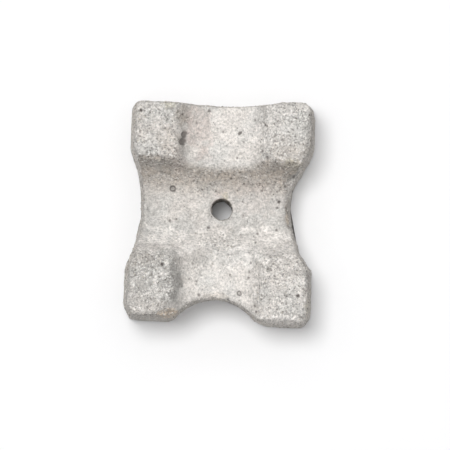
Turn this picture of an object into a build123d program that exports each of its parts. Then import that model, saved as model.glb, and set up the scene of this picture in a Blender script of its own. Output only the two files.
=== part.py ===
"""Cast concrete bar spacer.

One block with a flat back, which lies on the formwork, and four posts on its face. A deep trough
and a shallower saddle cross between the posts, and each of the four sides is hollowed, so that a
bar can be held at several different covers. A hole down the middle takes the tying wire.

Seen from above, +X is to the right and +Y is away from the viewer, towards the shallowest side.
The origin is in the middle of the flat back.
"""

import os
from dataclasses import dataclass
from math import radians, sin, sqrt, tan

from build123d import *

# The block at its flat back. The casting is a little narrower at its back and shorter on its left.
width = 43.8
length = 52.7
back_narrower = 1.0
left_shorter = 1.3
draft_angle = 2.5

# Levels above the flat back: the cover that each channel gives, and the posts beside the saddle
trough_cover = 20.0
saddle_cover = 25.0
post_rise = 5.0

# Corners of the posts, at their tops
front_left_round = 1.8
front_right_round = 1.6
back_left_round = 1.6
back_right_round = 2.4

# Trough along X. Its walls carry on at a tangent from the round seat.
trough_radius = 9.9
trough_wall_slope = 64.0
trough_y = 0.5

# Saddle along Y. A rounded root joins its shallow seat to each wall.
saddle_radius = 20.0
saddle_gap = 16.4
saddle_root_round = 5.0
saddle_wall_slope = 54.0
saddle_x = 0.0

# Rounds where the two channels meet, along their rims on the posts, and round the posts' outsides
lip_round = 3.0
rim_round = 2.5
post_round = 1.2

# Hollow in each side, and how far its middle lies off the middle of the side. Its shoulders are
# rounded at the tops of the posts as given here, from left to right or from front to back.
back_seat_depth = 1.3
back_foot = 8.2
back_seat_shift = -0.5
back_seat_left_round = 10.0
back_seat_right_round = 10.0
left_seat_depth = 3.1
left_seat_radius = 30.0
left_seat_shift = 0.5
left_seat_front_round = 3.7
left_seat_back_round = 2.7
right_seat_depth = 5.3
right_seat_radius = 20.0
right_seat_shift = 1.5
right_seat_front_round = 1.6
right_seat_back_round = 3.7

# The front hollow is the deepest. A plain core makes it, so that its wall has no draft.
front_seat_depth = 5.7
front_seat_radius = 11.5
front_seat_shift = -0.5
front_seat_left_round = 2.9
front_seat_right_round = 6.0

# Hole for the tying wire
wire_hole_diameter = 5.0
wire_hole_x = 0.3
wire_hole_y = 0.3


@dataclass
class BarChannel:
    """A channel across the face: a round seat for the bar, and a flared wall up each side."""

    cover: float
    radius: float
    gap: float
    wall_slope: float

    def foot(self):
        """Level at which the seat gives way to the walls."""
        return self.cover + self.radius - sqrt(self.radius**2 - (self.gap / 2) ** 2)

    def half_mouth(self, level):
        """Half the distance between the walls at a level above their feet."""
        return self.gap / 2 + (level - self.foot()) / tan(radians(self.wall_slope))

    def section(self, top):
        """The channel's section up to a level clear of the block, drawn across its middle."""
        half_gap, half_top = self.gap / 2, self.half_mouth(top)
        with BuildSketch() as drawn:
            with BuildLine():
                seat = ThreePointArc((-half_gap, self.foot()), (0, self.cover), (half_gap, self.foot()))
                Polyline(seat @ 1, (half_top, top), (-half_top, top), seat @ 0)
            make_face()
        return drawn.sketch


@dataclass
class SideSeat:
    """A hollow in one side, where a bar lies when the block stands on the opposite feet."""

    outward: Vector
    depth: float
    radius: float
    shift: float
    shoulder_rounds: tuple

    def along(self):
        """Direction of the side, towards its second shoulder."""
        return Vector(abs(self.outward.Y), abs(self.outward.X))

    def centre(self, reach):
        """Middle of the round, for a side that lies at reach."""
        return self.along() * self.shift + self.outward * (reach - self.depth + self.radius)

    def cut(self, drawn, reach):
        """Cut the hollow into a sketch, and return its shoulders with their rounds."""
        with Locations(self.centre(reach)):
            Circle(self.radius, mode=Mode.SUBTRACT)
        shoulders = drawn.vertices(Select.LAST).sort_by(Axis((0, 0), self.along()))
        return list(zip([Vector(*shoulder) for shoulder in shoulders], self.shoulder_rounds))


height = saddle_cover + post_rise
drawn_in = height * tan(radians(draft_angle))
half_front, half_back = width / 2, (width - back_narrower) / 2
half_left, half_right = (length - left_shorter) / 2, length / 2
mean_half_width, mean_half_length = (half_front + half_back) / 2, (half_left + half_right) / 2

trough_gap = 2 * trough_radius * sin(radians(trough_wall_slope))
trough = BarChannel(trough_cover, trough_radius, trough_gap, trough_wall_slope)
saddle = BarChannel(saddle_cover, saddle_radius, saddle_gap, saddle_wall_slope)

back_half_span = half_back - back_foot
back_seat_radius = (back_half_span**2 + back_seat_depth**2) / (2 * back_seat_depth)
back_seat = SideSeat(
    Vector(0, 1),
    back_seat_depth,
    back_seat_radius,
    back_seat_shift,
    (back_seat_left_round, back_seat_right_round),
)
left_seat = SideSeat(
    Vector(-1, 0),
    left_seat_depth,
    left_seat_radius,
    left_seat_shift,
    (left_seat_front_round, left_seat_back_round),
)
right_seat = SideSeat(
    Vector(1, 0),
    right_seat_depth,
    right_seat_radius,
    right_seat_shift,
    (right_seat_front_round, right_seat_back_round),
)
front_seat = SideSeat(
    Vector(0, -1),
    front_seat_depth,
    front_seat_radius,
    front_seat_shift,
    (front_seat_left_round, front_seat_right_round),
)

with BuildSketch() as outline:
    corners = [
        (Vector(-half_front, -half_left), front_left_round),
        (Vector(half_front, -half_right), front_right_round),
        (Vector(half_back, half_right), back_right_round),
        (Vector(-half_back, half_left), back_left_round),
    ]
    with BuildLine():
        Polyline(*[corner for corner, _ in corners], close=True)
    make_face()
    rounds = corners + back_seat.cut(outline, mean_half_length)
    for seat in (left_seat, right_seat):
        rounds = rounds + seat.cut(outline, mean_half_width)
    for place, top_round in rounds:
        fillet(outline.vertices().sort_by_distance(place)[0], top_round + drawn_in)

# What is left out above the block: the space over its posts, and the two channels below that
with BuildPart() as left_out:
    with BuildSketch(Plane.XY.offset(height)):
        Rectangle(2 * width, 2 * length)
    extrude(amount=height)
    with BuildSketch(Plane.YZ.offset(-width)):
        with Locations((trough_y, 0)):
            add(trough.section(height + post_rise))
    extrude(amount=2 * width)
    with BuildSketch(Plane.XZ.offset(-length)) as saddle_sketch:
        with Locations((saddle_x, 0)):
            add(saddle.section(height + post_rise))
        fillet(saddle_sketch.vertices().group_by(Axis.Y)[0], saddle_root_round)
    extrude(amount=2 * length)

    # Where the channels cross, the edges run down each post and over the bridge between two
    reach_x, reach_y = saddle.half_mouth(height), trough.half_mouth(height)
    crossing = left_out.edges().filter_by_position(Axis.X, saddle_x - reach_x, saddle_x + reach_x)
    crossing = crossing.filter_by_position(Axis.Y, trough_y - reach_y, trough_y + reach_y)
    crossing = crossing.filter_by_position(Axis.Z, trough_cover, height, (False, False))
    fillet(crossing, min(lip_round, saddle_cover - trough_cover))

    # The rim of each channel, at the level of the post tops
    rims = left_out.edges().filter_by_position(Axis.Z, height - rim_round, height + rim_round)
    rims = rims.filter_by_position(Axis.X, -width, width, (False, False))
    rims = rims.filter_by_position(Axis.Y, -length, length, (False, False))
    fillet(rims, rim_round)

with BuildPart() as block:
    add(outline.sketch)
    extrude(amount=height)
    ends = block.faces().filter_by(Axis.Z)
    draft(block.faces() - ends, Plane.XY, draft_angle)

    with BuildSketch():
        with Locations(front_seat.centre(mean_half_length)):
            Circle(front_seat.radius)
    extrude(amount=height, mode=Mode.SUBTRACT)
    shoulders = block.edges(Select.LAST).filter_by(lambda edge: edge.bounding_box().size.Z > height / 2)
    for shoulder, radius in zip(shoulders.sort_by(Axis.X), front_seat.shoulder_rounds):
        fillet(shoulder, radius)

    fillet(block.faces().sort_by(Axis.Z)[-1].edges(), post_round)
    add(left_out.part, mode=Mode.SUBTRACT)
    with Locations((wire_hole_x, wire_hole_y, 0)):
        Hole(wire_hole_diameter / 2)

block.part.label = "spacer_block"
os.makedirs("parts", exist_ok=True)
export_step(block.part, "parts/spacer_block.step")
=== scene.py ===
"""Looks of the cast concrete spacer: the block's cast face, its sand, and the table that it lies on."""

import logging
from dataclasses import dataclass, field
from enum import Enum
from math import cos, pi, radians, sin

import bmesh
import bpy
import numpy as np
from mathutils import Matrix, Vector
from mathutils.bvhtree import BVHTree

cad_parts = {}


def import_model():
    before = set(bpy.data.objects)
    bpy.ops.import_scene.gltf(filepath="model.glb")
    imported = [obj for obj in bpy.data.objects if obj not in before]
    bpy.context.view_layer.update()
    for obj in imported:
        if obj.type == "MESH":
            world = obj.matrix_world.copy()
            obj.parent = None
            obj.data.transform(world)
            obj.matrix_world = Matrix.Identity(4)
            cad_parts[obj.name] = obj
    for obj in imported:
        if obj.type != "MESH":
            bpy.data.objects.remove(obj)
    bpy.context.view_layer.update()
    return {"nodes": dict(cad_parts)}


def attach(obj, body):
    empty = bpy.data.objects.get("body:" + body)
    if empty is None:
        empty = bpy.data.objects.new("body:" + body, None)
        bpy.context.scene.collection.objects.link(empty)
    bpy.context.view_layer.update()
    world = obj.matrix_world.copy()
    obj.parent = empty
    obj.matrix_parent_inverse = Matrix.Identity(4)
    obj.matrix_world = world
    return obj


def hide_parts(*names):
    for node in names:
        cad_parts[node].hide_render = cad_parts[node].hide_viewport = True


MM = 0.001
Colour = tuple[float, float, float, float]

log = logging.getLogger("spacer")


def smooth_step(low: float, high: float, values: np.ndarray) -> np.ndarray:
    """Ease from 0 at low to 1 at high.

    Args:
        low: Where the rise starts.
        high: Where the rise ends. It may be below low, for a fall.
        values: The numbers to ease.

    Returns:
        Numbers from 0 to 1.
    """
    share = np.clip((values - low) / (high - low), 0.0, 1.0)
    return share * share * (3.0 - 2.0 * share)


@dataclass(frozen=True)
class PhotoView:
    """Where the camera stands over the block, in the frame of the picture."""

    frame_px: int = 450
    metres_per_px: float = 0.0002336
    distance: float = 1.6
    lean: float = 1.5
    turn: float = 2.0
    block_px: tuple[float, float] = (220.4, 213.2)
    sensor: float = 36.0

    def right(self) -> Vector:
        """Direction in the frame of the part that runs to the right in the picture."""
        return Vector((cos(radians(self.turn)), sin(radians(self.turn)), 0.0))

    def up(self) -> Vector:
        """Direction along the floor that runs up in the picture."""
        return Vector((-sin(radians(self.turn)), cos(radians(self.turn)), 0.0))

    def back(self) -> Vector:
        """Direction from the floor to the camera."""
        return Vector((0, 0, cos(radians(self.lean)))) - self.up() * sin(radians(self.lean))

    def on_floor(self, px: float, py: float) -> Vector:
        """Point of the floor that a pixel shows.

        Args:
            px: Pixels from the left edge of the picture.
            py: Pixels from its top edge.

        Returns:
            The point, in metres.
        """
        across, down = px - self.block_px[0], py - self.block_px[1]
        return (self.right() * across - self.up() * down) * self.metres_per_px

    def stand(self) -> Vector:
        """Place of the camera."""
        middle = self.frame_px / 2
        return self.on_floor(middle, middle) + self.back() * self.distance

    def aim(self, px: float, py: float) -> tuple[Vector, Vector]:
        """Line of sight through a pixel, as its start and its direction."""
        start = self.stand()
        return start, (self.on_floor(px, py) - start).normalized()

    def camera(self) -> bpy.types.Object:
        """Make the camera and use it for the scene.

        Returns:
            The camera object.
        """
        data = bpy.data.cameras.new("photo_view")
        data.sensor_width = self.sensor
        data.lens = self.sensor * self.distance / (self.frame_px * self.metres_per_px)
        camera = bpy.data.objects.new("photo_view", data)
        turned = Matrix((self.right(), self.back().cross(self.right()), self.back())).transposed()
        camera.matrix_world = Matrix.Translation(self.stand()) @ turned.to_4x4()
        bpy.context.scene.collection.objects.link(camera)
        bpy.context.scene.camera = camera
        return camera


class Noise:
    """Smooth random numbers in space, from about -1 to 1."""

    def __init__(self, seed: int) -> None:
        """Fill the lattice and turn it away from the block's own directions.

        Args:
            seed: Number that fixes the pattern.
        """
        chance = np.random.default_rng(seed)
        self.lattice = chance.uniform(-1.0, 1.0, (64, 64, 64))
        self.turned = np.linalg.qr(chance.normal(size=(3, 3)))[0]

    def __call__(self, places: np.ndarray, grain: float) -> np.ndarray:
        """Read the noise.

        Args:
            places: Points, in millimetres.
            grain: Size of the pattern's cells, in millimetres.

        Returns:
            One number for each point.
        """
        q = places @ self.turned / grain
        cell = np.floor(q).astype(int)
        f = q - cell
        f = f * f * f * (f * (f * 6.0 - 15.0) + 10.0)
        total = np.zeros(len(q))
        for corner in np.ndindex(2, 2, 2):
            x, y, z = ((cell + corner) % 64).T
            total += self.lattice[x, y, z] * np.prod(np.where(corner, f, 1.0 - f), axis=1)
        return total * 1.5


@dataclass(frozen=True)
class Relief:
    """One layer of unevenness: its seed, and the size of its cells and its height in millimetres."""

    seed: int
    grain: float
    height: float


def uneven(places: np.ndarray, layers: tuple[Relief, ...]) -> np.ndarray:
    """Add up layers of unevenness.

    Args:
        places: Points, in millimetres.
        layers: The layers.

    Returns:
        A height for each point, in millimetres.
    """
    return np.sum([layer.height * Noise(layer.seed)(places, layer.grain) for layer in layers], axis=0)


class Stain(Enum):
    """Kinds of discolouring, by the name of the attribute that holds each; the brown and dark ones also
    hold painted shade, and the pale one painted light.
    """

    BROWN = "brown"
    YELLOW = "yellow"
    DARK = "dark"
    PINK = "pink"
    PALE = "pale"
    TAN = "tan"


@dataclass(frozen=True)
class Pore:
    """An air hole that the picture shows, in pixels but for its depth in millimetres."""

    px: float
    py: float
    width: float
    length: float = 0.0
    turn: float = 0.0
    depth: float = 0.32


@dataclass(frozen=True)
class Blotch:
    """A stained or roughened patch, or a patch of painted shade or painted light, that the picture shows,
    in pixels.
    """

    px: float
    py: float
    width: float
    height: float
    strength: float = 1.0
    turn: float = 0.0


@dataclass(frozen=True)
class Break:
    """A broken edge: what lies beyond a plane through a point, in millimetres, is gone."""

    point: tuple[float, float, float]
    facing: tuple[float, float, float]
    reach: float = 6.0
    stain: Stain | None = None
    full_height: bool = False


@dataclass(frozen=True)
class Bulge:
    """A swelling of a side, at all levels, in millimetres."""

    place: tuple[float, float]
    reach: float
    height: float


@dataclass(frozen=True)
class Socket:
    """One output of a node, which Python's operators turn into more nodes."""

    sheet: "NodeSheet"
    socket: bpy.types.NodeSocket

    def maths(self, operation: str, *others: "Socket | float") -> "Socket":
        """Apply one operation of the Math node.

        Args:
            operation: The node's name for it.
            others: The operation's other numbers.

        Returns:
            The result.
        """
        values = dict(enumerate((self, *others)))
        return self.sheet.node("ShaderNodeMath", {"operation": operation}, values)

    def __add__(self, other: "Socket | float") -> "Socket":
        """Sum."""
        return self.maths("ADD", other)

    def __sub__(self, other: "Socket | float") -> "Socket":
        """Difference."""
        return self.maths("SUBTRACT", other)

    def __rsub__(self, other: "Socket | float") -> "Socket":
        """Difference from a number."""
        return (self * -1.0) + other

    def __mul__(self, other: "Socket | float") -> "Socket":
        """Product."""
        return self.maths("MULTIPLY", other)

    def __truediv__(self, other: "Socket | float") -> "Socket":
        """Quotient."""
        return self.maths("DIVIDE", other)

    def __pow__(self, other: "Socket | float") -> "Socket":
        """Power."""
        return self.maths("POWER", other)

    __radd__ = __add__
    __rmul__ = __mul__

    def rise(self, low: float, high: float) -> "Socket":
        """Ease from 0 where the number is low to 1 where it is high."""
        settings = {"interpolation_type": "SMOOTHSTEP"}
        return self.sheet.node("ShaderNodeMapRange", settings, {0: self, 1: low, 2: high})

    def times(self, amount: "Socket | float") -> "Socket":
        """Scale a colour or vector by a number."""
        values = {0: self, 3: amount}
        return self.sheet.node("ShaderNodeVectorMath", {"operation": "SCALE"}, values)


class NodeSheet:
    """A node tree that is written out from Python."""

    def __init__(self, tree: bpy.types.NodeTree) -> None:
        """Take over a tree and empty it.

        Args:
            tree: The tree of a material, a world or a Geometry Nodes group.
        """
        self.tree = tree
        tree.nodes.clear()

    def node(
        self,
        kind: str,
        settings: dict[str, object] | None = None,
        values: dict[int | str, object] | None = None,
        output: int | str = 0,
    ) -> Socket:
        """Add a node.

        Args:
            kind: The node's type name.
            settings: Its own settings, made first.
            values: What its inputs hold or are linked to, by number or by name.
            output: Which of its outputs to return, by number or by name.

        Returns:
            That output.
        """
        made = self.tree.nodes.new(kind)
        for name, setting in (settings or {}).items():
            setattr(made, name, setting)
        for name, value in (values or {}).items():
            entry = self.find(made.inputs, name)
            if isinstance(value, Socket):
                self.tree.links.new(value.socket, entry)
            else:
                entry.default_value = value
        return Socket(self, self.find(made.outputs, output) if made.outputs else None)

    @staticmethod
    def find(sockets: bpy.types.bpy_prop_collection, name: int | str) -> bpy.types.NodeSocket:
        """Pick a socket.

        Args:
            sockets: The inputs or outputs of a node.
            name: The socket's number, or the name of the one in use.

        Returns:
            The socket.
        """
        if isinstance(name, int):
            return sockets[name]
        return next(socket for socket in sockets if socket.name == name and socket.enabled)

    def attribute(self, name: str) -> Socket:
        """Number that a shader reads from an attribute of the mesh."""
        return self.node("ShaderNodeAttribute", {"attribute_name": name}, output="Fac")

    def place(self) -> Socket:
        """Place on the part for a shader, in millimetres."""
        return self.node("ShaderNodeTexCoord", output="Object").times(1.0 / MM)

    def noise(self, place: Socket, grain: float, detail: float = 2.0) -> Socket:
        """Soft noise whose cells are as large as the grain, in millimetres."""
        values = {"Vector": place, "Scale": 1.0 / grain, "Detail": detail, "Roughness": 0.6}
        return self.node("ShaderNodeTexNoise", None, values)

    def curls(self, place: Socket, grain: float) -> Socket:
        """Thin lines that wander between cells as large as the grain, in millimetres."""
        return (self.noise(place, grain, 1.0) - 0.5).maths("ABSOLUTE").rise(0.035, 0.0)

    def specks(self, place: Socket, grain: float) -> Socket:
        """One random number for each cell as large as the grain, in millimetres."""
        cells = self.node("ShaderNodeTexVoronoi", None, {"Vector": place, "Scale": 1.0 / grain}, "Color")
        return self.node("ShaderNodeSeparateColor", None, {0: cells})

    def mix(self, share: Socket | float, first: Socket | Colour, second: Socket | Colour) -> Socket:
        """Mix two colours."""
        values = {0: share, 6: first, 7: second}
        return self.node("ShaderNodeMix", {"data_type": "RGBA"}, values, 2)


@dataclass(frozen=True)
class Share:
    """An amount on plain concrete, and what rough casting and brown grime with painted shade add to it.
    """

    plain: float
    rough: float = 0.0
    grime_and_shade: float = 0.0

    def on(self, rough: Socket, grime_and_shade: Socket) -> Socket:
        """The amount where the concrete is this rough and carries this much grime and painted shade."""
        return self.plain + rough * self.rough + grime_and_shade * self.grime_and_shade


@dataclass(frozen=True)
class ConcreteFinish:
    """Cast concrete: pale paste with sand in it, pores darkened with painted shade, and old stains that
    also carry painted shade and light.
    """

    paste: Colour = (0.735, 0.695, 0.655, 1.0)
    cool_paste: Colour = (0.675, 0.655, 0.625, 1.0)
    dark_sand: Colour = (0.190, 0.175, 0.155, 1.0)
    pale_sand: Colour = (0.900, 0.880, 0.850, 1.0)
    # Painted shade for the insides of air holes, pin holes and bubble rims.
    pore: Colour = (0.110, 0.100, 0.092, 1.0)
    grey: float = 0.86
    mottle_contrast: float = 0.44
    fine_contrast: Share = Share(1.10, 0.40)
    dust_contrast: float = 0.85
    dark_curls: Share = Share(0.12, 0.18, 0.14)
    pale_curls: float = 0.16
    dark_grains: Share = Share(0.26, 0.38, 0.30)
    pale_grains: Share = Share(0.28, 0.34)
    relief: float = 0.16 * MM
    stains: tuple[tuple[Stain, Colour], ...] = (
        (Stain.BROWN, (0.330, 0.255, 0.185, 1.0)),
        (Stain.YELLOW, (0.480, 0.435, 0.250, 1.0)),
        (Stain.DARK, (0.270, 0.260, 0.245, 1.0)),
        (Stain.PINK, (0.640, 0.560, 0.520, 1.0)),
        (Stain.PALE, (0.900, 0.860, 0.820, 1.0)),
        (Stain.TAN, (0.640, 0.530, 0.420, 1.0)),
    )

    def material(self) -> bpy.types.Material:
        """Build the material.

        Returns:
            The finished material.
        """
        material = bpy.data.materials.new("cast_concrete")
        material.use_nodes = True
        sheet = NodeSheet(material.node_tree)
        place = sheet.place()
        rough = sheet.attribute("rough")
        cloud, mottle = sheet.noise(place, 8.0), sheet.noise(place, 2.2, 3.0)
        fine, dust = sheet.noise(place, 0.55, 3.0), sheet.noise(place, 0.24, 1.0)
        sand, grit = sheet.specks(place, 0.42), sheet.specks(place, 0.30)

        colour = sheet.mix(cloud.rise(0.38, 0.62), self.paste, self.cool_paste)
        colour = sheet.mix(sheet.attribute("grey"), colour, colour.times(self.grey))
        ragged = 0.55 + mottle.rise(0.35, 0.62) * 0.45
        # The brown and dark stains also paint shade, and the pale one paints light.
        for stain, tint in self.stains:
            colour = sheet.mix(sheet.attribute(stain.value) * ragged, colour, tint)
        curls = sheet.curls(place, 1.3) + sheet.curls(place, 0.75)
        # The brown stain holds brown grime and the painted shade on the inner walls that face the front.
        grime_and_shade = sheet.attribute(Stain.BROWN.value).rise(0.1, 0.4)
        bright = 1.0 + (mottle - 0.5) * self.mottle_contrast
        bright = bright + (fine - 0.5) * self.fine_contrast.on(rough, grime_and_shade)
        bright = bright + (dust - 0.5) * self.dust_contrast
        bright = bright - curls * self.dark_curls.on(rough, grime_and_shade)
        bright = bright + sheet.curls(place, 1.6) * rough * self.pale_curls
        colour = colour.times(bright)
        dark = sand.rise(0.90, 0.96) * self.dark_grains.on(rough, grime_and_shade)
        colour = sheet.mix(dark, colour, self.dark_sand)
        pale = grit.rise(0.88, 0.94) * self.pale_grains.on(rough, grime_and_shade)
        colour = sheet.mix(pale, colour, self.pale_sand)
        # Painted shade: air holes, pin holes and bubble rims are darkened in colour.
        colour = sheet.mix(sheet.attribute("pore"), colour, self.pore)

        height = fine * 0.7 + dust * 0.5 + sand * 0.12 + mottle * 0.6 - curls * 0.25
        values = {"Strength": 0.75, "Distance": self.relief, "Height": height}
        bump = sheet.node("ShaderNodeBump", None, values)
        finish = {
            "Base Color": colour,
            "Roughness": 0.84 + fine * 0.14,
            "Specular IOR Level": 0.3,
            "Normal": bump,
        }
        shader = sheet.node("ShaderNodeBsdfPrincipled", None, finish)
        sheet.node("ShaderNodeOutputMaterial", None, {"Surface": shader})
        return material


@dataclass(frozen=True)
class SandFinish:
    """Sand grains, from dark to pale by the tone that each grain has."""

    tones: tuple[tuple[float, Colour], ...] = (
        (0.00, (0.130, 0.120, 0.110, 1.0)),
        (0.16, (0.330, 0.300, 0.260, 1.0)),
        (0.34, (0.560, 0.510, 0.440, 1.0)),
        (0.70, (0.700, 0.670, 0.630, 1.0)),
        (1.00, (0.840, 0.815, 0.780, 1.0)),
    )

    def material(self) -> bpy.types.Material:
        """Build the material.

        Returns:
            The finished material.
        """
        material = bpy.data.materials.new("sand")
        material.use_nodes = True
        sheet = NodeSheet(material.node_tree)
        tone = sheet.attribute("tone")
        grain = sheet.noise(sheet.place(), 0.15)
        colour = self.tones[0][1]
        for (low, _), (high, tint) in zip(self.tones, self.tones[1:]):
            colour = sheet.mix(tone.rise(low, high), colour, tint)
        finish = {
            "Base Color": colour.times(0.9 + grain * 0.2),
            "Roughness": 0.55 + grain * 0.3,
            "Specular IOR Level": 0.35,
        }
        shader = sheet.node("ShaderNodeBsdfPrincipled", None, finish)
        sheet.node("ShaderNodeOutputMaterial", None, {"Surface": shader})
        return material


class GeometryTree(NodeSheet):
    """A Geometry Nodes group that is written out from Python."""

    def __init__(self, name: str, sizes: dict[str, type]) -> None:
        """Make the group with its named inputs.

        Args:
            name: The group's name.
            sizes: Name of each size that a modifier sets, and float or int for its kind.
        """
        super().__init__(bpy.data.node_groups.new(name, "GeometryNodeTree"))
        face = self.tree.interface
        face.new_socket("Geometry", in_out="INPUT", socket_type="NodeSocketGeometry")
        face.new_socket("Geometry", in_out="OUTPUT", socket_type="NodeSocketGeometry")
        for size, kind in sizes.items():
            socket_type = "NodeSocketInt" if kind is int else "NodeSocketFloat"
            face.new_socket(size, in_out="INPUT", socket_type=socket_type)
        self.entry = self.tree.nodes.new("NodeGroupInput")

    def given(self, name: str) -> Socket:
        """One of the group's inputs."""
        return Socket(self, self.entry.outputs[name])

    def random(self, low: Socket | float, high: Socket | float, seed: int) -> Socket:
        """A random number for each point."""
        values = {"Min": low, "Max": high, "Seed": seed}
        return self.node("FunctionNodeRandomValue", {"data_type": "FLOAT"}, values, "Value")

    def random_vector(self, low: tuple[float, ...], high: tuple[float, ...], seed: int) -> Socket:
        """A random vector for each point."""
        values = {"Min": low, "Max": high, "Seed": seed}
        return self.node("FunctionNodeRandomValue", {"data_type": "FLOAT_VECTOR"}, values, "Value")

    def named(self, name: str) -> Socket:
        """Number held in an attribute."""
        settings = {"data_type": "FLOAT"}
        return self.node("GeometryNodeInputNamedAttribute", settings, {"Name": name}, "Attribute")

    def store(self, geometry: Socket, name: str, value: Socket) -> Socket:
        """Hold a number in an attribute of the points.

        Args:
            geometry: The points.
            name: The attribute's name.
            value: The number.

        Returns:
            The points with the attribute.
        """
        settings = {"data_type": "FLOAT", "domain": "POINT"}
        values = {"Geometry": geometry, "Name": name, "Value": value}
        return self.node("GeometryNodeStoreNamedAttribute", settings, values)

    def end(self, geometry: Socket, material: bpy.types.Material) -> None:
        """Make instances real, give the material and close the group.

        Args:
            geometry: What the group has made.
            material: What it is made of.
        """
        real = self.node("GeometryNodeRealizeInstances", None, {0: geometry})
        dressed = self.node("GeometryNodeSetMaterial", None, {"Geometry": real, "Material": material})
        self.node("NodeGroupOutput", None, {0: dressed})

    def grow(self, piece: bpy.types.Object, sizes: dict[str, float | int]) -> bpy.types.Mesh:
        """Run the group on a piece.

        Args:
            piece: The piece that it grows from. It is left without the modifier.
            sizes: Value of each named input.

        Returns:
            The plain mesh that comes out.
        """
        modifier = piece.modifiers.new(self.tree.name, "NODES")
        modifier.node_group = self.tree
        for item in self.tree.interface.items_tree:
            if item.in_out == "INPUT" and item.name in sizes:
                modifier[item.identifier] = sizes[item.name]
        mesh = evaluated_mesh(piece)
        piece.modifiers.remove(modifier)
        return mesh


def evaluated_mesh(piece: bpy.types.Object) -> bpy.types.Mesh:
    """Plain mesh of a piece with its modifiers applied.

    Args:
        piece: The piece. It stays as it is.

    Returns:
        The new mesh.
    """
    graph = bpy.context.evaluated_depsgraph_get()
    kept = {"preserve_all_data_layers": True, "depsgraph": graph}
    return bpy.data.meshes.new_from_object(piece.evaluated_get(graph), **kept)


def add_piece(name: str, mesh: bpy.types.Mesh) -> bpy.types.Object:
    """Put a mesh into the scene.

    Args:
        name: Name of the piece.
        mesh: Its mesh, in place.

    Returns:
        The new object.
    """
    piece = bpy.data.objects.new(name, mesh)
    bpy.context.scene.collection.objects.link(piece)
    return piece


@dataclass
class Skin:
    """The block's surface as arrays, in millimetres, its masks, and the CAD surface in metres."""

    mesh: bpy.types.Mesh
    drawn: BVHTree | None = None
    places: np.ndarray = field(init=False)
    normals: np.ndarray = field(init=False)
    edges: np.ndarray = field(init=False)
    masks: dict[str, np.ndarray] = field(default_factory=dict)

    def __post_init__(self) -> None:
        """Read the mesh."""
        count = len(self.mesh.vertices)
        self.places, self.normals = np.empty((2, count * 3))
        self.mesh.vertices.foreach_get("co", self.places)
        self.mesh.vertex_normals.foreach_get("vector", self.normals)
        self.places = self.places.reshape(-1, 3) / MM
        self.normals = self.normals.reshape(-1, 3)
        self.edges = np.empty(len(self.mesh.edges) * 2, dtype=int)
        self.mesh.edges.foreach_get("vertices", self.edges)
        self.edges = self.edges.reshape(-1, 2)

    def neighbours_mean(self, values: np.ndarray) -> np.ndarray:
        """Mean over each point's neighbours.

        Args:
            values: A vector for each point.

        Returns:
            The mean vector for each point.
        """
        first, second = self.edges.T
        count = np.bincount(self.edges.ravel(), minlength=len(values))[:, None]
        total = np.empty_like(values)
        for axis in range(values.shape[1]):
            column = values[:, axis]
            total[:, axis] = np.bincount(first, column[second], len(values))
            total[:, axis] += np.bincount(second, column[first], len(values))
        return total / count

    def blurred(self, values: np.ndarray, rounds: int) -> np.ndarray:
        """Even numbers out over the points' neighbours.

        Args:
            values: A number for each point.
            rounds: How many times each takes the mean of its neighbours.

        Returns:
            The evened numbers.
        """
        for _ in range(rounds):
            values = self.neighbours_mean(values[:, None])[:, 0]
        return values

    def upright(self) -> np.ndarray:
        """How far each point's face is from looking up, from 0 to 1 for a wall."""
        return smooth_step(0.35, 0.15, self.normals[:, 2])

    def add_mask(self, name: str, values: np.ndarray) -> None:
        """Lay a mask over one that is there, the stronger counting."""
        self.masks[name] = np.maximum(self.masks.get(name, 0.0), values)

    def stay_above_table(self) -> None:
        """Raise to the table what lies below it, then write."""
        self.places[:, 2] = np.maximum(self.places[:, 2], 0.0)
        self.write()

    def write(self) -> None:
        """Put the places and masks back on the mesh."""
        self.mesh.vertices.foreach_set("co", (self.places * MM).ravel())
        for name, values in self.masks.items():
            old = self.mesh.attributes.get(name)
            held = old or self.mesh.attributes.new(name, "FLOAT", "POINT")
            held.data.foreach_set("value", values.astype(np.float32))
        self.mesh.update()


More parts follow.
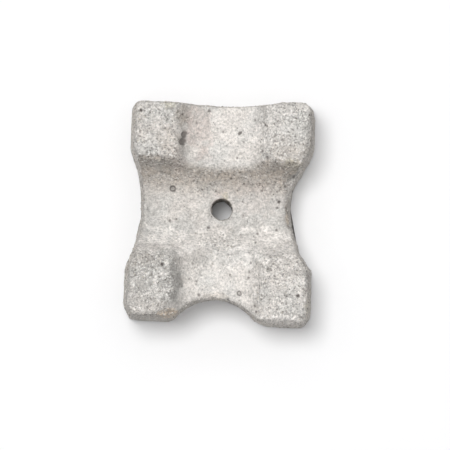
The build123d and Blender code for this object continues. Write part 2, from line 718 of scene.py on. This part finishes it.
@dataclass
class CastBlock:
    """The concrete block with the marks of its casting and use, and with painted shade and light."""

    view: PhotoView
    cell: float = 0.21
    quick_cell: float = 0.34
    most_triangles: int = 186000
    ease_rounds: int = 30
    ease_limit: float = 0.03
    edge_blur: int = 4
    arch_blur: int = 10
    middle: tuple[float, float] = (-0.8, 0.3)
    post_x: tuple[float, float] = (8.4, 10.8)
    post_y: tuple[float, float] = (9.0, 11.2)
    post_level: tuple[float, float] = (23.5, 26.5)
    saddle_x: tuple[float, float] = (8.6, 6.4)
    saddle_y: tuple[float, float] = (8.5, 11.5)
    wire_hole: tuple[float, float] = (0.3, 0.3)
    side_roughness: float = 0.8
    side_grime: float = 0.15
    foot_shade: float = 0.35
    front_wall_painted_shade: float = 0.50
    right_wall_shade: float = 0.20
    pit_depth: float = 0.22
    fade_on_walls: float = 0.75
    fade_levels: tuple[float, float] = (22.0, 10.0)
    swells: tuple[Relief, ...] = (Relief(1, 6.5, 0.08), Relief(2, 2.3, 0.04))
    coarse: tuple[Relief, ...] = (Relief(3, 1.15, 0.06), Relief(4, 0.62, 0.05), Relief(5, 0.42, 0.03))
    smooth: tuple[Relief, ...] = (Relief(6, 1.0, 0.028), Relief(7, 0.5, 0.016))
    side_lumps: tuple[Relief, ...] = (Relief(13, 1.5, 0.10), Relief(14, 0.8, 0.08))
    broken_face: tuple[Relief, ...] = (Relief(11, 1.4, 0.22), Relief(12, 0.5, 0.10))
    pores: tuple[Pore, ...] = (
        Pore(141, 110, 4.5, 3.2, 10, 0.9),
        Pore(140, 120, 3),
        Pore(184.5, 134.5, 7.4, 9.4, 80, 0.45),
        Pore(183.0, 141.5, 10.0, 9.6, 0, 0.50),
        Pore(183, 114.5, 3),
        Pore(209.5, 111, 3.4),
        Pore(170, 220.5, 3.6),
        Pore(208.5, 227.5, 3.6),
        Pore(231, 179, 3.2),
        Pore(244, 184, 3.2),
        Pore(260, 184, 3.4),
        Pore(262, 191, 3.2),
        Pore(237.5, 191, 2.8),
        Pore(277, 192, 3.2),
        Pore(279, 202, 3.6, 4.6, 60, 0.6),
        Pore(277.5, 208, 3.2),
        Pore(294, 177, 4),
        Pore(202.5, 190, 2.8),
        Pore(216, 191.5, 2.8),
        Pore(207, 188, 2.8),
        Pore(223, 132, 3.2),
        Pore(240, 133, 4, 6, 45, 0.5),
        Pore(237, 158, 3.6),
        Pore(255, 120, 3.0),
        Pore(265, 125, 3.2),
        Pore(267, 158, 4.2),
        Pore(262, 151, 3.2),
        Pore(257.5, 233.5, 3.2),
        Pore(255.5, 242, 3.2),
        Pore(276.5, 230, 3.2),
        Pore(250.5, 263, 3.2),
        Pore(249, 272, 3.2),
        Pore(248.5, 278, 3.2),
        Pore(230, 275, 3.2),
        Pore(197, 281.5, 3.2),
        Pore(199, 295, 4.0),
        Pore(298, 296, 3.2, 4.0, 0, 0.8),
        Pore(287, 296, 3.2),
        Pore(270, 299.5, 3.6),
        Pore(254.5, 306, 3.2),
        Pore(256, 312, 3.2),
        Pore(228, 299.5, 4.0),
        Pore(162, 264.5, 4.6, 3.4, 20, 0.6),
        Pore(268, 268.5, 3.4),
        Pore(311, 144, 3.4, 6, 90, 0.6),
    )
    rings: tuple[Pore, ...] = (Pore(173, 189, 6.4), Pore(239, 293.5, 4.6))
    patches: tuple[Blotch, ...] = (
        Blotch(220, 248, 40, 26, 0.8),
        Blotch(265, 262, 20, 16, 0.9),
        Blotch(247, 220, 6, 12, 0.8, 20),
        Blotch(275, 150, 26, 30, 0.7),
        Blotch(200, 262, 26, 22, 0.5),
        Blotch(225, 178, 140, 22, 0.5),
    )
    # Brown grime; the blotches under the upper posts and bridge along the trough, and on the right waist,
    # are painted shade.
    brown: tuple[Blotch, ...] = (
        Blotch(160, 166, 44, 12, 0.30),
        Blotch(169, 146, 24, 28, 0.20),
        Blotch(183, 116, 18, 24, 0.45),
        Blotch(190, 172, 40, 10, 0.35),
        Blotch(240, 182, 110, 22, 0.30),
        Blotch(284, 166, 36, 12, 0.30),
        Blotch(288, 152, 44, 16, 0.18),
        Blotch(289, 210, 8, 36, 0.45),
        Blotch(140, 230, 10, 60, 0.15),
        Blotch(150, 258, 50, 16, 0.15),
        Blotch(217, 296, 32, 8, 0.35),
        Blotch(300, 325, 40, 8, 0.35),
    )
    yellow: tuple[Blotch, ...] = (
        Blotch(171, 107, 18, 9, 0.45),
        Blotch(226, 197, 6, 8, 0.35),
        Blotch(292, 165, 18, 12, 0.25),
        Blotch(308, 309, 8, 22, 0.25),
    )
    pink: tuple[Blotch, ...] = (
        Blotch(180, 160, 22, 22, 0.30),
        Blotch(200, 132, 26, 56, 0.65),
        Blotch(255, 200, 60, 34, 0.30),
    )
    # Dark specks and tone, and painted shade: on the post walls that face the saddles, on the left of the
    # upper saddle, in the creases under the upper posts, on the right waist, in the wire hole, on the
    # lower left post's front, and round the arch.
    dark: tuple[Blotch, ...] = (
        Blotch(146, 205, 20, 90, 0.30),
        Blotch(156, 190, 30, 20, 0.14),
        Blotch(166, 163, 60, 11, 0.52),
        Blotch(184, 156, 14, 24, 0.60),
        Blotch(188, 156, 16, 30, 0.30),
        Blotch(196, 128, 24, 62, 0.48),
        Blotch(211, 209, 5, 22, 0.35),
        Blotch(280, 168, 44, 10, 0.40),
        Blotch(286.5, 203, 8, 70, 0.75),
        Blotch(308, 140, 12, 40, 0.30),
        Blotch(137, 287, 4, 9, 0.6),
        Blotch(142, 289, 12, 4, 0.8, -30),
        Blotch(146, 268, 10, 4, 0.4),
        Blotch(148, 284, 54, 56, 0.34),
        Blotch(150, 255, 58, 14, 0.30),
        Blotch(150, 283, 5, 4, 0.5),
        Blotch(155, 308, 46, 24, 0.25),
        Blotch(163, 275, 4, 10, 0.5),
        Blotch(174.5, 286, 17, 60, 0.90),
        Blotch(175, 302, 34, 20, 0.50),
        Blotch(176, 262, 8, 22, 0.5),
        Blotch(188, 298, 42, 12, 0.30),
        Blotch(190, 254, 26, 38, 0.40),
        Blotch(190, 294, 22, 16, 0.30),
        Blotch(196, 256, 34, 20, 0.45),
        Blotch(230, 248, 60, 20, 0.28),
        Blotch(262, 266, 9, 3, 0.5),
        Blotch(268.5, 269.5, 7, 3.5, 0.7),
        Blotch(301, 266, 18, 16, 0.35),
        Blotch(310, 294, 12, 54, 0.35),
    )
    # Pale cement and chips; the large blotches on the right of both saddles and along the trough's lower
    # side, which faces the lamp, are painted light.
    pale: tuple[Blotch, ...] = (
        Blotch(240, 130, 50, 60, 0.25),
        Blotch(259, 136, 16, 40, 0.55),
        Blotch(272, 125, 36, 44, 0.20),
        Blotch(305, 108, 10, 8, 0.5),
        Blotch(132, 293, 5, 4, 0.7),
        Blotch(134, 284, 3.5, 9, 0.7),
        Blotch(140, 307, 9, 4, 0.8),
        Blotch(146, 293, 12, 3, 0.8, 20),
        Blotch(157, 280, 4, 12, 0.5),
        Blotch(161, 273, 20, 3.5, 0.6),
        Blotch(165, 288, 20, 4, 0.5),
        Blotch(167.5, 262, 5, 4.5, 0.9),
        Blotch(180, 243, 6, 5, 1.0),
        Blotch(182, 241, 84, 24, 0.75),
        Blotch(183, 247, 4, 4, 0.8),
        Blotch(186, 263, 8, 4, 0.5),
        Blotch(228, 275, 50, 50, 0.20),
        Blotch(254, 284, 20, 42, 0.40),
        Blotch(259.5, 259.5, 5, 4, 1.0),
        Blotch(262, 244, 84, 32, 0.80),
        Blotch(264, 272, 5, 3.5, 0.8),
        Blotch(282, 290, 46, 50, 0.18),
        Blotch(283, 322, 64, 16, 0.85),
    )
    tan: tuple[Blotch, ...] = (
        Blotch(170, 314, 18, 10, 0.8),
        Blotch(288, 219, 5, 9, 0.5),
    )
    breaks: tuple[Break, ...] = (
        Break((-21.15, 23.95, 0.0), (-0.92, 0.38, 0.04), full_height=True),
        Break((-16.9, 25.3, 0.0), (0.0, 1.0, 0.04), 9.0, full_height=True),
        Break((-21.1, -23.7, 0.0), (-0.86, -0.50, 0.04), full_height=True),
        Break((21.2, 22.5, 0.0), (0.98, 0.2, 0.04), 7.0, full_height=True),
        Break((21.05, -24.9, 0.0), (0.84, -0.54, 0.04), full_height=True),
        Break((20.0, -10.7, 0.0), (0.81, 0.58, 0.04), 4.0, full_height=True),
        Break((-12.6, -25.0, 27.0), (0.35, -0.85, 0.45), 5.0, Stain.TAN),
        Break((19.6, 24.6, 29.2), (0.6, 0.55, 0.5), 5.0, Stain.PALE),
        Break((15.45, -0.6, 19.9), (0.85, 0.1, 0.5), 3.2, Stain.BROWN),
        Break((15.8, 3.0, 20.1), (0.8, 0.0, 0.6), 8.0),
        Break((13.5, -24.9, 28.8), (0.0, -0.85, 0.5), 9.0),
        Break((20.1, 17.5, 29.0), (0.85, 0.0, 0.5), 9.0),
        Break((20.4, -18.5, 29.0), (0.85, 0.0, 0.5), 9.0),
    )
    bulges: tuple[Bulge, ...] = (Bulge((18.9, 10.8), 6.0, 0.75),)

    def make(self, node: bpy.types.Object, finish: bpy.types.Material) -> bpy.types.Object:
        """Build the block from the CAD node.

        Args:
            node: The CAD node, which is only read.
            finish: The concrete.

        Returns:
            The finished block.
        """
        plain = bmesh.new()
        plain.from_mesh(node.data)
        plain.transform(node.matrix_world)
        bmesh.ops.remove_doubles(plain, verts=plain.verts, dist=MM * MM)
        surface = BVHTree.FromBMesh(plain)
        mesh = bpy.data.meshes.new("cast_block")
        plain.to_mesh(mesh)
        plain.free()

        block = add_piece("cast_block", mesh)
        remesh = block.modifiers.new("even_cells", "REMESH")
        remesh.mode = "VOXEL"
        remesh.voxel_size = self.cell * MM
        self.swap(block, evaluated_mesh(block))
        log.info("block: %d cells", len(block.data.polygons))

        skin = Skin(block.data, surface)
        self.settle(skin)
        self.weather(skin)
        self.mark(skin)
        skin.stay_above_table()
        self.thin_out(block)
        self.swap(block, self.small_pores(finish).grow(block, self.small_pore_sizes()))
        Skin(block.data).stay_above_table()
        block.data.polygons.foreach_set("use_smooth", [True] * len(block.data.polygons))
        log.info("block: %d triangles", sum(len(p.vertices) - 2 for p in block.data.polygons))
        return block

    @staticmethod
    def swap(block: bpy.types.Object, mesh: bpy.types.Mesh) -> None:
        """Give the block a new mesh and drop its modifiers."""
        block.modifiers.clear()
        block.data = mesh

    def settle(self, skin: Skin) -> None:
        """Lay the cells on the CAD surface and ease its flat facets into curves.

        Args:
            skin: The block's surface.
        """
        nearest = [skin.drawn.find_nearest(Vector(place))[0] for place in skin.places * MM]
        skin.places = np.array(nearest) / MM
        eased = skin.places.copy()
        for _ in range(self.ease_rounds):
            eased += (skin.neighbours_mean(eased) - eased) * 0.5
            moved = eased - skin.places
            far = np.linalg.norm(moved, axis=1, keepdims=True)
            eased = skin.places + moved * np.minimum(1.0, self.ease_limit / np.maximum(far, 1e-9))
        skin.places = eased

    def weather(self, skin: Skin) -> None:
        """Give the block its swells, its rough post tops, its worn rims, and painted shade on its inner
        walls and at the foot of its sides.

        Args:
            skin: The block's surface.
        """
        p = skin.places
        x, y, z = np.abs(p[:, 0] - self.middle[0]), np.abs(p[:, 1] - self.middle[1]), p[:, 2]
        posts = smooth_step(*self.post_x, x) * smooth_step(*self.post_y, y)
        rough = posts * smooth_step(*self.post_level, z)
        for patch in self.patches:
            rough = np.maximum(rough, self.spread(skin, patch))
        sides = skin.upright() * smooth_step(-0.8, -0.4, skin.normals[:, 2])
        skin.add_mask("rough", np.maximum(rough, self.side_roughness * sides))
        skin.add_mask("sandy", (0.1 + 0.9 * skin.masks["rough"]) * smooth_step(1.0, 2.0, z))
        saddle = smooth_step(*self.saddle_x, x + 0.9 * Noise(23)(p, 3.0)) * smooth_step(*self.saddle_y, y)
        skin.add_mask("grey", 1.0 - saddle * smooth_step(0.5, 0.8, skin.normals[:, 2]))
        # Painted shade: the inner walls that face the front are darkened with the brown stain.
        away = smooth_step(0.1, 0.8, -skin.normals[:, 1]) * smooth_step(12.5, 11.0, y)
        skin.add_mask(Stain.BROWN.value, self.front_wall_painted_shade * away * smooth_step(19.5, 21.0, z))
        # Painted shade: the inner walls that face right, and the side walls towards the foot, are
        # darkened with the dark stain.
        right = smooth_step(0.3, 0.8, skin.normals[:, 0]) * smooth_step(13.0, 11.0, x)
        skin.add_mask(Stain.DARK.value, self.right_wall_shade * right * smooth_step(22.0, 25.0, z))
        skin.add_mask(Stain.DARK.value, self.foot_shade * sides * smooth_step(8.0, 0.0, z))
        skin.add_mask(Stain.BROWN.value, self.side_grime * sides)

        pits = -self.pit_depth * smooth_step(0.45, 0.95, Noise(8)(p, 0.9)) * (0.25 + rough)
        ground = smooth_step(0.0, 1.5, z)
        lift = uneven(p, self.swells) + pits + uneven(p, self.smooth)
        lift = (lift + uneven(p, self.coarse) * (0.25 + rough)) * (0.25 + 0.75 * ground)
        off_bore = smooth_step(3.0, 4.0, np.linalg.norm(p[:, :2] - self.wire_hole, axis=1))
        lift += sides * ground * off_bore * uneven(p, self.side_lumps)
        for bulge in self.bulges:
            away = np.linalg.norm(p[:, :2] - bulge.place, axis=1)
            lift += sides * bulge.height * smooth_step(bulge.reach, bulge.reach * 0.2, away)
        lift -= self.wear(skin, ground)
        skin.places = p + skin.normals * lift[:, None]

    def wear(self, skin: Skin, ground: np.ndarray) -> np.ndarray:
        """Find how much the edges have lost: a little everywhere, and more at the foot and the arch.

        Args:
            skin: The block's surface.
            ground: 0 for a point at the foot of the block, rising to 1 above it.

        Returns:
            The loss at each point, in millimetres.
        """
        p = skin.places
        ridge = np.einsum("ij,ij->i", p - skin.neighbours_mean(p), skin.normals)
        ridge = skin.blurred(ridge, self.edge_blur)
        worn = smooth_step(0.006, 0.03, ridge)
        above = worn * ground * (0.04 + 0.20 * smooth_step(0.1, 0.9, Noise(9)(p, 1.8)))
        foot = worn * (1.0 - ground) * (0.35 + 0.15 * Noise(10)(p, 2.5))
        arch = smooth_step(-14.0, -17.0, p[:, 1]) * smooth_step(18.0, 22.0, p[:, 2])
        arch = arch * smooth_step(11.0, 8.0, np.abs(p[:, 0] - self.middle[0]))
        ridge = skin.blurred(ridge, self.arch_blur)
        return above + foot + 0.5 * arch * smooth_step(0.003, 0.015, ridge)

    def spread(self, skin: Skin, blotch: Blotch) -> np.ndarray:
        """How strongly a patch of the picture covers each point, seen from above.

        Args:
            skin: The block's surface.
            blotch: The patch.

        Returns:
            Numbers from 0 to the patch's strength.
        """
        scale = self.view.metres_per_px / MM
        right, up = np.array(self.view.right()), np.array(self.view.up())
        centre = np.array(self.view.on_floor(blotch.px, blotch.py)) / MM
        offset = skin.places - centre
        offset = offset - np.outer(skin.places[:, 2] * sin(radians(self.view.lean)), -up)
        across, along = offset @ right, offset @ up
        c, s = cos(radians(blotch.turn)), sin(radians(blotch.turn))
        u = (across * c + along * s) / (blotch.width * scale / 2)
        v = (along * c - across * s) / (blotch.height * scale / 2)
        edge = np.hypot(u, v) + 0.35 * Noise(21)(skin.places, 1.6) + 0.15 * Noise(22)(skin.places, 0.6)
        faded = self.fade_on_walls * skin.upright() * smooth_step(*self.fade_levels, skin.places[:, 2])
        return blotch.strength * smooth_step(1.25, 0.55, edge) * (1.0 - faded)

    def mark(self, skin: Skin) -> None:
        """Put in what the picture shows in one place each: breaks, pores and rings with painted shade,
        and stains that also paint shade and light.

        Args:
            skin: The block's surface.
        """
        stained = {
            Stain.BROWN: self.brown,
            Stain.YELLOW: self.yellow,
            Stain.DARK: self.dark,
            Stain.PINK: self.pink,
            Stain.PALE: self.pale,
            Stain.TAN: self.tan,
        }
        for stain, blotches in stained.items():
            for blotch in blotches:
                skin.add_mask(stain.value, self.spread(skin, blotch))
        for broken in self.breaks:
            self.break_off(skin, broken)
        for pore in self.pores:
            self.sink(skin, pore)
        for ring in self.rings:
            self.ring(skin, ring)
        self.scratch(skin)

    def break_off(self, skin: Skin, broken: Break) -> None:
        """Take away what lies beyond a rough plane.

        Args:
            skin: The block's surface.
            broken: The break.
        """
        facing = np.array(broken.facing) / np.linalg.norm(broken.facing)
        offset = skin.places - np.array(broken.point)
        axes = 2 if broken.full_height else 3
        near = smooth_step(broken.reach, broken.reach * 0.6, np.linalg.norm(offset[:, :axes], axis=1))
        rough_plane = offset @ facing + uneven(skin.places, self.broken_face)
        beyond = np.maximum(rough_plane, 0.0) * near
        skin.places = skin.places - np.outer(beyond, facing)
        fresh = smooth_step(0.05, 0.25, beyond)
        if broken.stain:
            skin.add_mask(broken.stain.value, 0.75 * fresh)
        skin.masks["rough"] = np.maximum(skin.masks["rough"], 0.7 * fresh)

    def locate(self, skin: Skin, mark: Pore) -> tuple[np.ndarray, np.ndarray, np.ndarray]:
        """Find the points round a mark of the picture.

        Args:
            skin: The block's surface.
            mark: The mark.

        Returns:
            Numbers of the points near it, their distance in half widths, and the way out of the block.
        """
        found, normal, _, _ = skin.drawn.ray_cast(*self.view.aim(mark.px, mark.py))
        outward = np.array(normal)
        offset = skin.places - np.array(found) / MM
        scale = self.view.metres_per_px / MM / 2
        near = np.flatnonzero(np.linalg.norm(offset, axis=1) < 4 * scale * max(mark.width, mark.length))
        along = np.array(self.view.right()) * cos(radians(mark.turn))
        along += np.array(self.view.up()) * sin(radians(mark.turn))
        across = np.cross(np.array(self.view.back()), along)
        local = offset[near]
        width, length = mark.width * scale, (mark.length or mark.width) * scale
        away = np.hypot(local @ along / length, local @ across / width)
        away = np.maximum(away, np.linalg.norm(local, axis=1) / (2.2 * max(width, length)))
        away += 0.12 * Noise(31)(skin.places[near], 0.5)
        return near, away, outward

    def sink(self, skin: Skin, pore: Pore) -> None:
        """Sink one air hole.

        Args:
            skin: The block's surface.
            pore: The hole.
        """
        near, away, outward = self.locate(skin, pore)
        bowl = smooth_step(1.0, 0.45, away)
        inward = np.array(self.view.back()) + outward
        skin.places[near] -= np.outer(bowl * pore.depth, inward / np.linalg.norm(inward))
        # Painted shade: the inside of the hole is darkened in colour.
        hole = np.zeros(len(skin.places))
        hole[near] = smooth_step(1.0, 0.5, away) * min(0.92, 0.42 + 0.75 * pore.depth)
        skin.add_mask("pore", hole)

    def ring(self, skin: Skin, ring: Pore) -> None:
        """Draw the rim of a skinned-over bubble.

        Args:
            skin: The block's surface.
            ring: The bubble.
        """
        near, away, outward = self.locate(skin, ring)
        rim = np.exp(-(((away - 0.8) / 0.25) ** 2))
        dish = smooth_step(0.8, 0.5, away)
        skin.places[near] -= np.outer(rim * 0.22 + dish * 0.1, outward)
        # Painted shade: the rim's groove is darkened in colour.
        line = np.zeros(len(skin.places))
        line[near] = np.minimum(rim + dish * 0.3, 1.0)
        skin.add_mask("pore", line)

    def scratch(self, skin: Skin) -> None:
        """Draw the pale scratch on the left of the trough.

        Args:
            skin: The block's surface.
        """
        pale = np.zeros(len(skin.places))
        for step in np.linspace(0.0, 1.0, 6):
            mark = Pore(145 + 7 * step, 223 + 10 * step, 1.7, 3.2, -55)
            near, away, outward = self.locate(skin, mark)
            line = smooth_step(1.0, 0.3, away)
            pale[near] = np.maximum(pale[near], 0.7 * line)
            skin.places[near] += np.outer(0.02 * line, outward)
        skin.add_mask(Stain.PALE.value, pale)

    def thin_out(self, block: bpy.types.Object) -> None:
        """Merge cells, first on the sides and back, until the block is light enough.

        Args:
            block: The block.
        """
        skin = Skin(block.data)
        away_from_face = smooth_step(0.32, 0.12, skin.normals[:, 2])
        group = block.vertex_groups.new(name="may_merge")
        for level in np.unique(np.round(away_from_face, 1)):
            chosen = np.flatnonzero(np.round(away_from_face, 1) == level)
            group.add(chosen.tolist(), float(level), "REPLACE")
        thin = block.modifiers.new("thin_out", "DECIMATE")
        thin.ratio = min(1.0, self.most_triangles / (2 * len(block.data.polygons)))
        thin.vertex_group = group.name
        thin.vertex_group_factor = 1.0
        masks = block.data.attributes
        mesh = evaluated_mesh(block)
        log.info("block: masks kept %s", [name for name in masks.keys() if name in mesh.attributes])
        block.vertex_groups.clear()
        self.swap(block, mesh)

    @staticmethod
    def small_pore_sizes() -> dict[str, float | int]:
        """Choose the pin holes.

        Returns:
            Value of each input of their tree: metres, a number per square metre, or a plain number.
        """
        return {
            "Spacing": 2.4 * MM,
            "Density": 90000.0,
            "Smallest": 0.16 * MM,
            "Largest": 0.36 * MM,
            "Depth": 0.8,
            "Seed": 5,
        }

    @staticmethod
    def small_pores(finish: bpy.types.Material) -> GeometryTree:
        """Write the tree that sinks pin holes all over the block.

        Args:
            finish: The concrete.

        Returns:
            The tree.
        """
        sizes = {"Spacing": float, "Density": float, "Smallest": float, "Largest": float}
        tree = GeometryTree("small_pores", sizes | {"Depth": float, "Seed": int})
        block = tree.given("Geometry")
        spread = {
            "Mesh": block,
            "Distance Min": tree.given("Spacing"),
            "Density Max": tree.given("Density"),
            "Seed": tree.given("Seed"),
        }
        settings = {"distribute_method": "POISSON"}
        points = tree.node("GeometryNodeDistributePointsOnFaces", settings, spread, "Points")
        chance = tree.random(0.0, 1.0, 3)
        bore = tree.given("Smallest") + (tree.given("Largest") - tree.given("Smallest")) * chance**3.0
        points = tree.store(points, "bore", bore)
        place = tree.node("GeometryNodeInputPosition")
        nearest = tree.node("GeometryNodeSampleNearest", {"domain": "POINT"}, {"Geometry": points})
        at = {"Geometry": points, "Value": place, "Index": nearest}
        centre = tree.node("GeometryNodeSampleIndex", {"data_type": "FLOAT_VECTOR"}, at)
        size = {"Geometry": points, "Value": tree.named("bore"), "Index": nearest}
        bore = tree.node("GeometryNodeSampleIndex", {"data_type": "FLOAT"}, size)
        far = {"operation": "DISTANCE"}
        reach = tree.node("ShaderNodeVectorMath", far, {0: place, 1: centre}, "Value")
        hole = (reach / bore).rise(1.0, 0.4)
        sunk = tree.node("GeometryNodeInputNormal").times(hole * bore * tree.given("Depth") * -1.0)
        # Painted shade: each pin hole is darkened in colour.
        block = tree.store(block, "pore", tree.named("pore").maths("MAXIMUM", hole * 0.7))
        block = tree.node("GeometryNodeSetPosition", None, {"Geometry": block, "Offset": sunk})
        tree.end(block, finish)
        return tree


@dataclass
class SurfaceSand:
    """Sand grains that stand out of the paste, thickest on the rough posts."""

    per_square_metre: float = 1.5e6
    spacing: float = 0.35 * MM
    smallest: float = 0.07 * MM
    largest: float = 0.24 * MM
    seed: int = 8

    def make(self, block: bpy.types.Object, finish: bpy.types.Material) -> bpy.types.Object:
        """Scatter the grains over the block.

        Args:
            block: The finished block.
            finish: The sand.

        Returns:
            All the grains as one piece.
        """
        sizes = {
            "Spacing": self.spacing,
            "Density": self.per_square_metre,
            "Smallest": self.smallest,
            "Largest": self.largest,
            "Seed": self.seed,
        }
        grains = add_piece("surface_sand", self.tree(finish).grow(block, sizes))
        log.info("sand: %d triangles", sum(len(p.vertices) - 2 for p in grains.data.polygons))
        return grains

    @staticmethod
    def tree(finish: bpy.types.Material) -> GeometryTree:
        """Write the tree that scatters the grains.

        Args:
            finish: The sand.

        Returns:
            The tree.
        """
        sizes = {"Spacing": float, "Density": float, "Smallest": float, "Largest": float, "Seed": int}
        tree = GeometryTree("surface_sand", sizes)
        spread = {
            "Mesh": tree.given("Geometry"),
            "Distance Min": tree.given("Spacing"),
            "Density Max": tree.given("Density"),
            "Density Factor": tree.named("sandy") * (1.0 - tree.named("pore")),
            "Seed": tree.given("Seed"),
        }
        settings = {"distribute_method": "POISSON"}
        points = tree.node("GeometryNodeDistributePointsOnFaces", settings, spread, "Points")
        points = tree.store(points, "tone", tree.random(0.0, 1.0, 11))
        grain = tree.node("GeometryNodeMeshIcoSphere", None, {"Radius": 1.0, "Subdivisions": 1}, "Mesh")
        chance = tree.random(0.0, 1.0, 12)
        size = tree.given("Smallest") + (tree.given("Largest") - tree.given("Smallest")) * chance**2.0
        turn = tree.random_vector((0, 0, 0), (pi, pi, pi), 13)
        stretch = tree.random_vector((0.6, 0.6, 0.5), (1.2, 1.0, 0.9), 14)
        set_out = {"Points": points, "Instance": grain, "Rotation": turn, "Scale": stretch.times(size)}
        tree.end(tree.node("GeometryNodeInstanceOnPoints", None, set_out), finish)
        return tree


@dataclass(frozen=True)
class Lamp:
    """A round lamp and its share of the light that reaches a level surface."""

    name: str
    share: float
    towards: tuple[float, float, float]
    size: float
    distance: float = 1.2

    def hang(self) -> None:
        """Put the lamp in place, facing the block."""
        towards = Vector(self.towards).normalized()
        data = bpy.data.lights.new(self.name, "AREA")
        data.shape = "DISK"
        data.size = self.size
        data.energy = self.share * pi**2 * (self.distance**2 + self.size**2 / 4) / towards.z
        lamp = bpy.data.objects.new(self.name, data)
        lamp.location = towards * self.distance
        lamp.rotation_mode = "QUATERNION"
        lamp.rotation_quaternion = towards.to_track_quat("Z", "Y")
        bpy.context.scene.collection.objects.link(lamp)


@dataclass
class Studio:
    """A white table under soft light from a little to the far left."""

    view: PhotoView
    floor_half: float = 3.0
    paint: Colour = (0.875, 0.875, 0.88, 1.0)
    sky: float = 0.22
    lamps: tuple[Lamp, ...] = (
        Lamp("key", 0.555, (-0.099, 0.102, 0.989), 0.28),
        Lamp("soft_box", 0.32, (0.0, 0.09, 0.996), 1.6),
    )
    floor_lift: float = 0.06

    def build(self) -> None:
        """Make the floor, the lights and the camera."""
        self.floor()
        self.world()
        for lamp in self.lamps:
            lamp.hang()
        self.view.camera()
        bpy.context.scene.view_settings.view_transform = "Standard"

    def floor(self) -> None:
        """Make the table top, a little brighter to the camera than the light alone makes it."""
        half = self.floor_half
        mesh = bpy.data.meshes.new("table_top")
        corners = [(-half, -half, 0), (half, -half, 0), (half, half, 0), (-half, half, 0)]
        mesh.from_pydata(corners, [], [(0, 1, 2, 3)])
        table = add_piece("table_top", mesh)
        material = bpy.data.materials.new("white_table")
        material.use_nodes = True
        sheet = NodeSheet(material.node_tree)
        seen = sheet.node("ShaderNodeLightPath", output="Is Camera Ray")
        paint = sheet.node("ShaderNodeBsdfDiffuse", None, {"Color": self.paint})
        glow = sheet.node("ShaderNodeEmission", None, {"Strength": seen * self.floor_lift})
        both = sheet.node("ShaderNodeAddShader", None, {0: paint, 1: glow})
        sheet.node("ShaderNodeOutputMaterial", None, {"Surface": both})
        mesh.materials.append(material)

    def world(self) -> None:
        """Light the scene evenly from all round, with pure white behind it."""
        world = bpy.data.worlds.new("white_room")
        world.use_nodes = True
        sheet = NodeSheet(world.node_tree)
        path = sheet.node("ShaderNodeLightPath", output="Is Camera Ray")
        node = path.socket.node
        shiny = Socket(sheet, node.outputs["Is Glossy Ray"])
        through = Socket(sheet, node.outputs["Is Transmission Ray"])
        seen = path.maths("MAXIMUM", shiny).maths("MAXIMUM", through)
        light = sheet.node("ShaderNodeBackground", None, {"Color": (1, 1, 1, 1), "Strength": self.sky})
        white = sheet.node("ShaderNodeBackground", None, {"Color": (1, 1, 1, 1), "Strength": 1.0})
        both = sheet.node("ShaderNodeMixShader", None, {0: seen, 1: light, 2: white})
        sheet.node("ShaderNodeOutputWorld", None, {"Surface": both})
        bpy.context.scene.world = world


def main() -> None:
    """Build the block's looks and the studio round it."""
    logging.basicConfig(level=logging.INFO, format="%(name)s: %(message)s")
    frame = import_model()
    view = PhotoView()
    Studio(view).build()
    log.info("studio built")

    cell = CastBlock.cell
    maker = CastBlock(view, cell=cell)
    block = maker.make(frame["nodes"]["spacer_block"], ConcreteFinish().material())
    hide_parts("spacer_block")
    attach(block, "root")
    log.info("cast block built")

    sand = SurfaceSand().make(block, SandFinish().material())
    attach(sand, "root")
    log.info("surface sand built")


if __name__ == "__main__":
    main()
